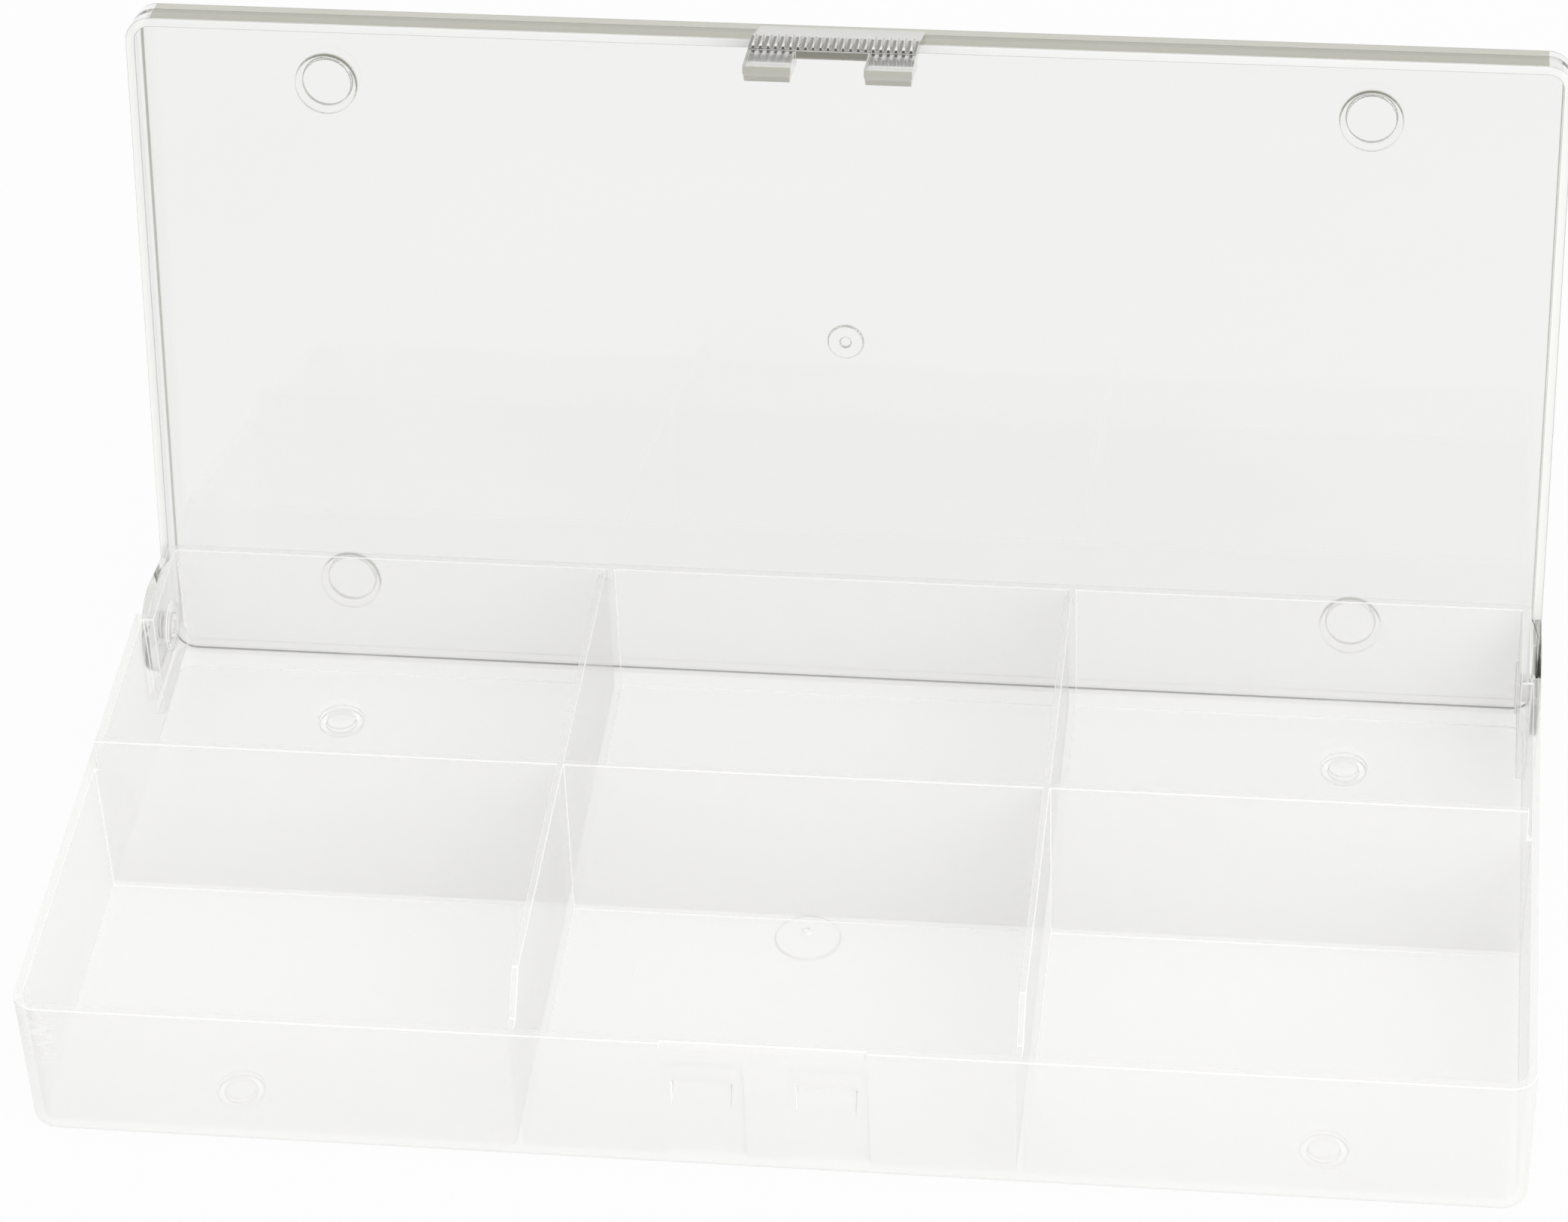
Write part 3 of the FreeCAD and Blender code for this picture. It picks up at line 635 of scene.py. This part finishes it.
    def catches(self, tray, t):
        """Pockets for the hooks, and a bevelled rim above them."""
        ledge = RIM - t.ledge
        for s in SIDES:
            middle = s * t.catch_place
            pocket = block("pocket", (middle - t.catch_width / 2, FRONT - OVER, ledge - t.catch_height),
                           (middle + t.catch_width / 2, FRONT + t.catch_depth, ledge))
            with editing(pocket):
                pick(pocket, "VERT", lambda p: p.z < ledge - 1e-5 and p.y > FRONT)
                shift(y=0.00015 - t.catch_depth)
            cut(tray, pocket)
        lead = block("lead", (-0.0135, FRONT - 0.0005, RIM - 0.0026), (0.0135, FRONT + 0.0005, RIM + 0.001))
        with editing(lead):
            pick(lead, "VERT", lambda p: p.z < RIM and p.y > FRONT)
            shift(y=-0.00099)
            pick(lead, "VERT", lambda p: p.z > RIM and p.y > FRONT)
            shift(y=0.000385)
        cut(tray, lead)

    def underside(self, tray, t):
        """Four ring feet, and the shallow mark of the moulding gate."""
        for node in FEET:
            low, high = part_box(node)
            x, y = (low.x + high.x) / 2, (low.y + high.y) / 2
            add(tray, rod("foot", t.foot, (x, y, low.z), (x, y, high.z + 0.0004)))
            cut(tray, rod("bore", t.foot_bore, (x, y, low.z - 0.001), (x, y, high.z)))
        x, y, floor = 0.0003, -0.0033, UNDER + t.floor
        cut(tray, rod("gate", t.gate, (x, y, UNDER - 0.001), (x, y, UNDER + 0.0004), 64))
        add(tray, rod("nub", 0.0006, (x, y, floor - 0.0004), (x, y, floor + 0.0004), 24))


class BOX_OT_lid(bpy.types.Operator):
    """Model the clear lid with its walls, rear lip, hinge ears and stacking discs"""

    bl_idname = "box.lid"
    bl_label = "Lid"

    def execute(self, context):
        p = context.scene.lid_sizes
        self.under = DIVIDER_TOP + p.lift
        self.top = self.under + p.plate
        lid = self.shell(p)
        self.ears(lid, p)
        self.discs(lid, p)
        look = context.scene.box_finishes
        for name, colour, roughness, clearness in (
                ("lid_clear", look.clear, 0.03, 1.0),
                # Painted highlight along the softened edges.
                ("lid_edge", look.clear_edge_highlight, 0.2, 0.45),
                # Painted highlight: white on the rim's end faces.
                ("lid_rim_highlight", look.clear_edge_highlight, 0.2, 0.15),
                # Painted shade: grey on the front wall.
                ("lid_side_shade", look.side, 0.06, 0.9),
                # Painted shade: dark olive on the round edges and disc rings.
                ("lid_round_shade", look.round, 0.06, 0.8)):
            finish = clear_finish(name, look, tuple(colour), roughness, clearness, *LID_OPTICS)
            lid.data.materials.append(finish)
        self.shade(lid, p)
        soften(lid, p.edge)
        turn_open(lid)
        place(lid, "lid", "lid_clear")
        return {"FINISHED"}

    def shell(self, p):
        """A plate with walls all round; the rear wall is only a lip."""
        rear = REAR + p.overhang
        lid = block("lid", (-HALF, FRONT, RIM), (HALF, rear, self.top))
        with editing(lid):
            pick(lid, "EDGE", lambda at, run: abs(run.z) > 0.9)
            round_off(p.corner, 7)
            pick(lid, "EDGE", lambda at, run: near(at.z, self.top))
            round_off(p.edge_round, 5)
            pick(lid, "FACE", lambda at, n: n.z < -0.9 and near(at.z, RIM))
            bpy.ops.mesh.inset(thickness=p.wall, depth=0)
            push(z=self.under - RIM)
        neck = HINGE.y + p.ear - p.ear_taper
        cut(lid, block("lip", (-HALF - OVER, neck, RIM - OVER),
                       (HALF + OVER, rear + OVER, HINGE.z + p.lip)))
        return lid

    def shade(self, lid, p):
        """Painted highlight and shade: white rim, grey walls and olive round edges, as thick clear plastic
        shows them.
        """
        # Painted highlight: the rim's end faces white.
        paint(lid, RIM_HIGHLIGHT, lambda at, n: n.z < -0.9 and near(at.z, RIM))
        # Painted shade: the front wall's outer face grey.
        paint(lid, SIDE, lambda at, n: n.y < -0.9 and near(at.y, FRONT))
        # Painted shade: the round edges olive, except at the rear.
        paint(lid, ROUND_SHADE, lambda at, n: (
            0.15 < n.z < 0.97 and at.z > self.top - p.edge_round and at.y < HINGE.y))
        for node in FEET:
            low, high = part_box(node)
            middle = (low + high) / 2
            # Painted shade: the rings round the discs olive.
            paint(lid, ROUND_SHADE, lambda at, n: abs(n.z) < 0.1 and (at - middle).xy.length < p.disc + 0.0002)

    def ears(self, lid, p):
        """Round-ended ears that carry the hinge pegs."""
        for s in SIDES:
            a, b = sorted((s * (HALF - p.wall), s * HALF))
            foot = HINGE.z - p.ear
            ear = block("ear", (a, HINGE.y - p.ear, foot), (b, HINGE.y + p.ear, RIM + 0.0006))
            with editing(ear):
                pick(ear, "EDGE", lambda at, run: abs(run.x) > 0.9 and near(at.z, foot))
                round_off(p.ear * 0.9995, 24)
                pick(ear, "VERT", lambda at: at.z > RIM and at.y > HINGE.y)
                shift(y=-p.ear_taper * 1.08)
            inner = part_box("hinge_peg_right")[0].x
            add(ear, rod("peg", p.peg, (s * inner, HINGE.y, HINGE.z),
                         (s * (HALF - p.wall / 2), HINGE.y, HINGE.z)))
            add(lid, ear)

    def discs(self, lid, p):
        """Stacking sockets outside the plate, each with a disc behind it."""
        for node in FEET:
            low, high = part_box(node)
            x, y = (low.x + high.x) / 2, (low.y + high.y) / 2
            add(lid, rod("disc", p.disc, (x, y, self.under - p.disc_rise), (x, y, self.under + 0.0002), 64))
            cut(lid, rod("socket", p.socket, (x, y, self.top - p.socket_depth), (x, y, self.top + 0.001), 64))
        x, y = 0.0, -0.0019
        cut(lid, rod("gate", p.gate, (x, y, self.top - 0.0005), (x, y, self.top + 0.001), 48))
        add(lid, rod("nub", 0.0008, (x, y, self.top - 0.0008), (x, y, self.top - 0.0001), 24))


class BOX_OT_latch(bpy.types.Operator):
    """Model the clear snap latch with its hooks and ribbed grip"""

    bl_idname = "box.latch"
    bl_label = "Latch"

    def execute(self, context):
        p = context.scene.latch_sizes
        half, wall = p.width / 2, FRONT - 0.00005
        outer, inner = FRONT - p.gap - p.thick, FRONT - p.gap
        tip, crest = RIM - p.drop, RIM + p.crest
        shoulder, root = crest - p.flare, crest - p.root
        bend, step = root - p.flare * p.gap / (p.gap + p.thick), 0.002
        latch = block("latch", (-half, outer, tip), (half, inner, bend))
        with editing(latch):
            pick(latch, "VERT", lambda at: near(at.z, bend) and at.y < inner - 1e-5)
            shift(z=shoulder - bend)
            pick(latch, "FACE", lambda at, n: n.z > 0.9)
            push(z=step)
            pick(latch, "VERT", lambda at: at.z > bend + 0.001 and at.y < inner - 1e-5)
            shift(y=wall - outer, z=crest - shoulder - step)
            pick(latch, "VERT", lambda at: near(at.z, bend + step) and near(at.y, inner))
            shift(y=wall - inner, z=root - bend - step)
        cut(latch, block("window", (-p.window / 2, outer - 0.001, tip - 0.001),
                         (p.window / 2, inner + 0.001, tip + p.window_height)))
        for node in ("latch_hook_left", "latch_hook_right"):
            self.hook(latch, p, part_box(node)[0].x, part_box(node)[1].x, inner, tip)
        self.grip(latch, p, outer, shoulder - 0.0001)
        look = context.scene.box_finishes
        for name, colour, roughness, clearness in (
                ("latch_clear", look.latch, 0.05, 1.0),
                # Painted highlight along the softened edges.
                ("latch_edge_highlight", look.clear_edge_highlight, 0.2, 0.45),
                # Painted shade: olive-grey on the hook ends.
                ("latch_end_shade", look.latch_end_shade, 0.25, 0.6),
                # Painted shadow: dark in the grooves between the ribs.
                ("latch_groove_shadow", look.groove_shadow, 0.3, 0.3)):
            finish = clear_finish(name, look, tuple(colour), roughness, clearness, *LATCH_OPTICS)
            latch.data.materials.append(finish)
        sill = tip + p.window_height
        # The lid's olive material, a painted shade, for the flare and the window top.
        latch.data.materials.append(bpy.data.materials["lid_round_shade"])
        # Painted shade on the lower ends of the hooks.
        paint(latch, HOOK_END_SHADE, lambda at, n: n.z < -0.3 and at.z < tip + 0.001)
        # Painted shade on the underside of the window's top.
        paint(latch, FLARE_SHADE, lambda at, n: n.z < -0.9 and near(at.z, sill))
        # Painted shadow in the grooves between the ribs.
        paint(latch, GROOVE_SHADOW, lambda at, n: n.y < -0.9 and near(at.y, outer - 0.0002))
        # Painted shade on the flare.
        paint(latch, FLARE_SHADE, lambda at, n: n.z > 0.1 and at.z > shoulder + 0.001 and n.y < -0.1)
        soften(latch, p.edge)
        turn_open(latch)
        place(latch, "latch", "lid_clear")
        return {"FINISHED"}

    def hook(self, latch, p, left, right, inner, tip):
        """A block behind a leg: bevelled below, sloping out to the catch face above."""
        catch = RIM - p.catch
        hook = block("hook", (left, inner - 0.0003, tip), (right, FRONT, catch))
        with editing(hook):
            for z in (tip + p.lead / 2, catch - p.hook):
                bpy.ops.mesh.select_all(action="SELECT")
                bpy.ops.mesh.bisect(plane_co=(0, 0, z), plane_no=(0, 0, 1))
            pick(hook, "VERT", lambda at: near(at.z, tip) and near(at.y, FRONT))
            shift(y=-p.lead)
            pick(hook, "VERT", lambda at: near(at.z, catch) and near(at.y, FRONT))
            shift(y=p.reach)
        add(latch, hook)

    def grip(self, latch, p, outer, high):
        """A thin strip with upright ribs, one rib modelled and the rest copied from it."""
        half, base = p.width / 2, 0.0002
        add(latch, block("strip", (-half, outer - base, high - p.grip), (half, outer + 0.0004, high)))
        first = -half + 0.0005
        rib = block("rib", (first, outer - base - p.rib_rise, high - p.grip), (first + p.rib, outer, high))
        with editing(rib):
            pick(rib, "EDGE", lambda at, run: abs(run.z) > 0.9 and at.y < outer - base)
            round_off(p.rib * 0.36, 3)
        take(rib)
        bpy.ops.object.modifier_add(type="ARRAY")
        row = rib.modifiers[-1]
        row.count, row.use_relative_offset, row.use_constant_offset = p.ribs, False, True
        row.constant_offset_displace = ((p.width - 0.001 - p.rib) / (p.ribs - 1), 0, 0)
        bpy.ops.object.modifier_apply(modifier=row.name)
        add(latch, rib)


class BOX_OT_stage(bpy.types.Operator):
    """Set the floor, the soft light and the camera"""

    bl_idname = "box.stage"
    bl_label = "Stage"

    def execute(self, context):
        scene = context.scene
        look = scene.box_finishes
        scene.view_settings.view_transform = "Standard"
        self.floor(look)
        self.light(scene)
        nothing_selected()
        bpy.ops.object.camera_add(
            location=CAMERA_PLACE, rotation=[math.radians(a) for a in CAMERA_TURN])
        camera = context.object
        camera.name = "photo_camera"
        camera.data.sensor_fit, camera.data.sensor_width = "HORIZONTAL", 36.0
        camera.data.lens = CAMERA_LENS
        camera.data.clip_start, camera.data.clip_end = 0.01, 50.0
        scene.camera = camera
        return {"FINISHED"}

    def seen(self, f):
        """One for rays that show the background: straight, mirrored or through clear plastic."""
        path = "ShaderNodeLightPath"
        straight = f.node(path, output="Is Camera Ray")
        mirrored = f.node(path, output="Is Glossy Ray")
        through = f.node(path, output="Is Transmission Ray")
        return f.node("ShaderNodeMath", {"operation": "MINIMUM"}, {0: straight + mirrored + through, 1: 1.0})

    def floor(self, look):
        """A wide white floor that keeps a faint shadow."""
        nothing_selected()
        bpy.ops.mesh.primitive_plane_add(size=8.0, location=(0, 0, 0))
        floor = settle("floor")
        f = Finish(bpy.data.materials.new("floor_white"))
        matt = f.node("ShaderNodeBsdfDiffuse", {}, {"Color": rgba(look.floor)})
        white = f.node("ShaderNodeEmission", {}, {"Color": (1, 1, 1, 1), "Strength": 1.0})
        mixed = f.node("ShaderNodeMixShader", {}, {0: self.seen(f) * 0.95, 1: matt, 2: white})
        floor.data.materials.append(f.close(mixed))

    def light(self, scene):
        """An even white surround with a dim ceiling in the mirrored light, and one large soft lamp."""
        world = bpy.data.worlds.new("soft_surround")
        scene.world = world
        f = Finish(world)
        way = f.node("ShaderNodeTexCoord", output="Generated")
        height = f.node("ShaderNodeSeparateXYZ", {}, {0: way}, "Z")
        even = f.ramp(height, 0.0, 0.7, HORIZON, OVERHEAD)
        lit = f.node("ShaderNodeBackground", {}, {"Color": (1, 1, 1, 1), "Strength": even})
        ceiling = f.ramp(height, 0.3, 0.75, 1.0, CEILING)
        shown = f.node("ShaderNodeBackground", {}, {"Color": (1, 1, 1, 1), "Strength": ceiling})
        mixed = f.node("ShaderNodeMixShader", {}, {0: self.seen(f), 1: lit, 2: shown})
        f.node("ShaderNodeOutputWorld", {}, {"Surface": mixed})
        nothing_selected()
        bpy.ops.object.light_add(type="AREA", location=LAMP_PLACE)
        lamp = bpy.context.object
        lamp.name = "soft_lamp"
        lamp.data.size, lamp.data.energy = LAMP_SIZE, LAMP_POWER
        lamp.visible_glossy = False
        aim = Vector((0, 0, 0.05)) - lamp.location
        lamp.rotation_euler = aim.to_track_quat("-Z", "Y").to_euler()


class BOX_PT_panel(bpy.types.Panel):
    """Steps and sizes of the box in the sidebar"""

    bl_idname = "BOX_PT_panel"
    bl_label = "Compartment Box"
    bl_space_type = "VIEW_3D"
    bl_region_type = "UI"
    bl_category = "Box"

    def draw(self, context):
        for step, group in STEPS:
            column = self.layout.column(align=True)
            column.operator(step.bl_idname)
            settings = getattr(context.scene, group)
            for name in settings.bl_rna.properties.keys():
                if name not in ("rna_type", "name"):
                    column.prop(settings, name)


STEPS = (
    (BOX_OT_tray, "tray_sizes"),
    (BOX_OT_lid, "lid_sizes"),
    (BOX_OT_latch, "latch_sizes"),
    (BOX_OT_stage, "box_finishes"),
)
GROUPS = {
    "tray_sizes": TraySizes,
    "lid_sizes": LidSizes,
    "latch_sizes": LatchSizes,
    "box_finishes": BoxFinishes,
}


def register():
    for name, group in GROUPS.items():
        bpy.utils.register_class(group)
        setattr(bpy.types.Scene, name, PointerProperty(type=group))
    for step, group in STEPS:
        bpy.utils.register_class(step)
    bpy.utils.register_class(BOX_PT_panel)


def unregister():
    bpy.utils.unregister_class(BOX_PT_panel)
    for step, group in reversed(STEPS):
        bpy.utils.unregister_class(step)
    for name, group in GROUPS.items():
        delattr(bpy.types.Scene, name)
        bpy.utils.unregister_class(group)


def main():
    register()
    bpy.ops.box.tray()
    bpy.ops.box.lid()
    bpy.ops.box.latch()
    bpy.ops.box.stage()
    nothing_selected()


if __name__ == "__main__":
    main()
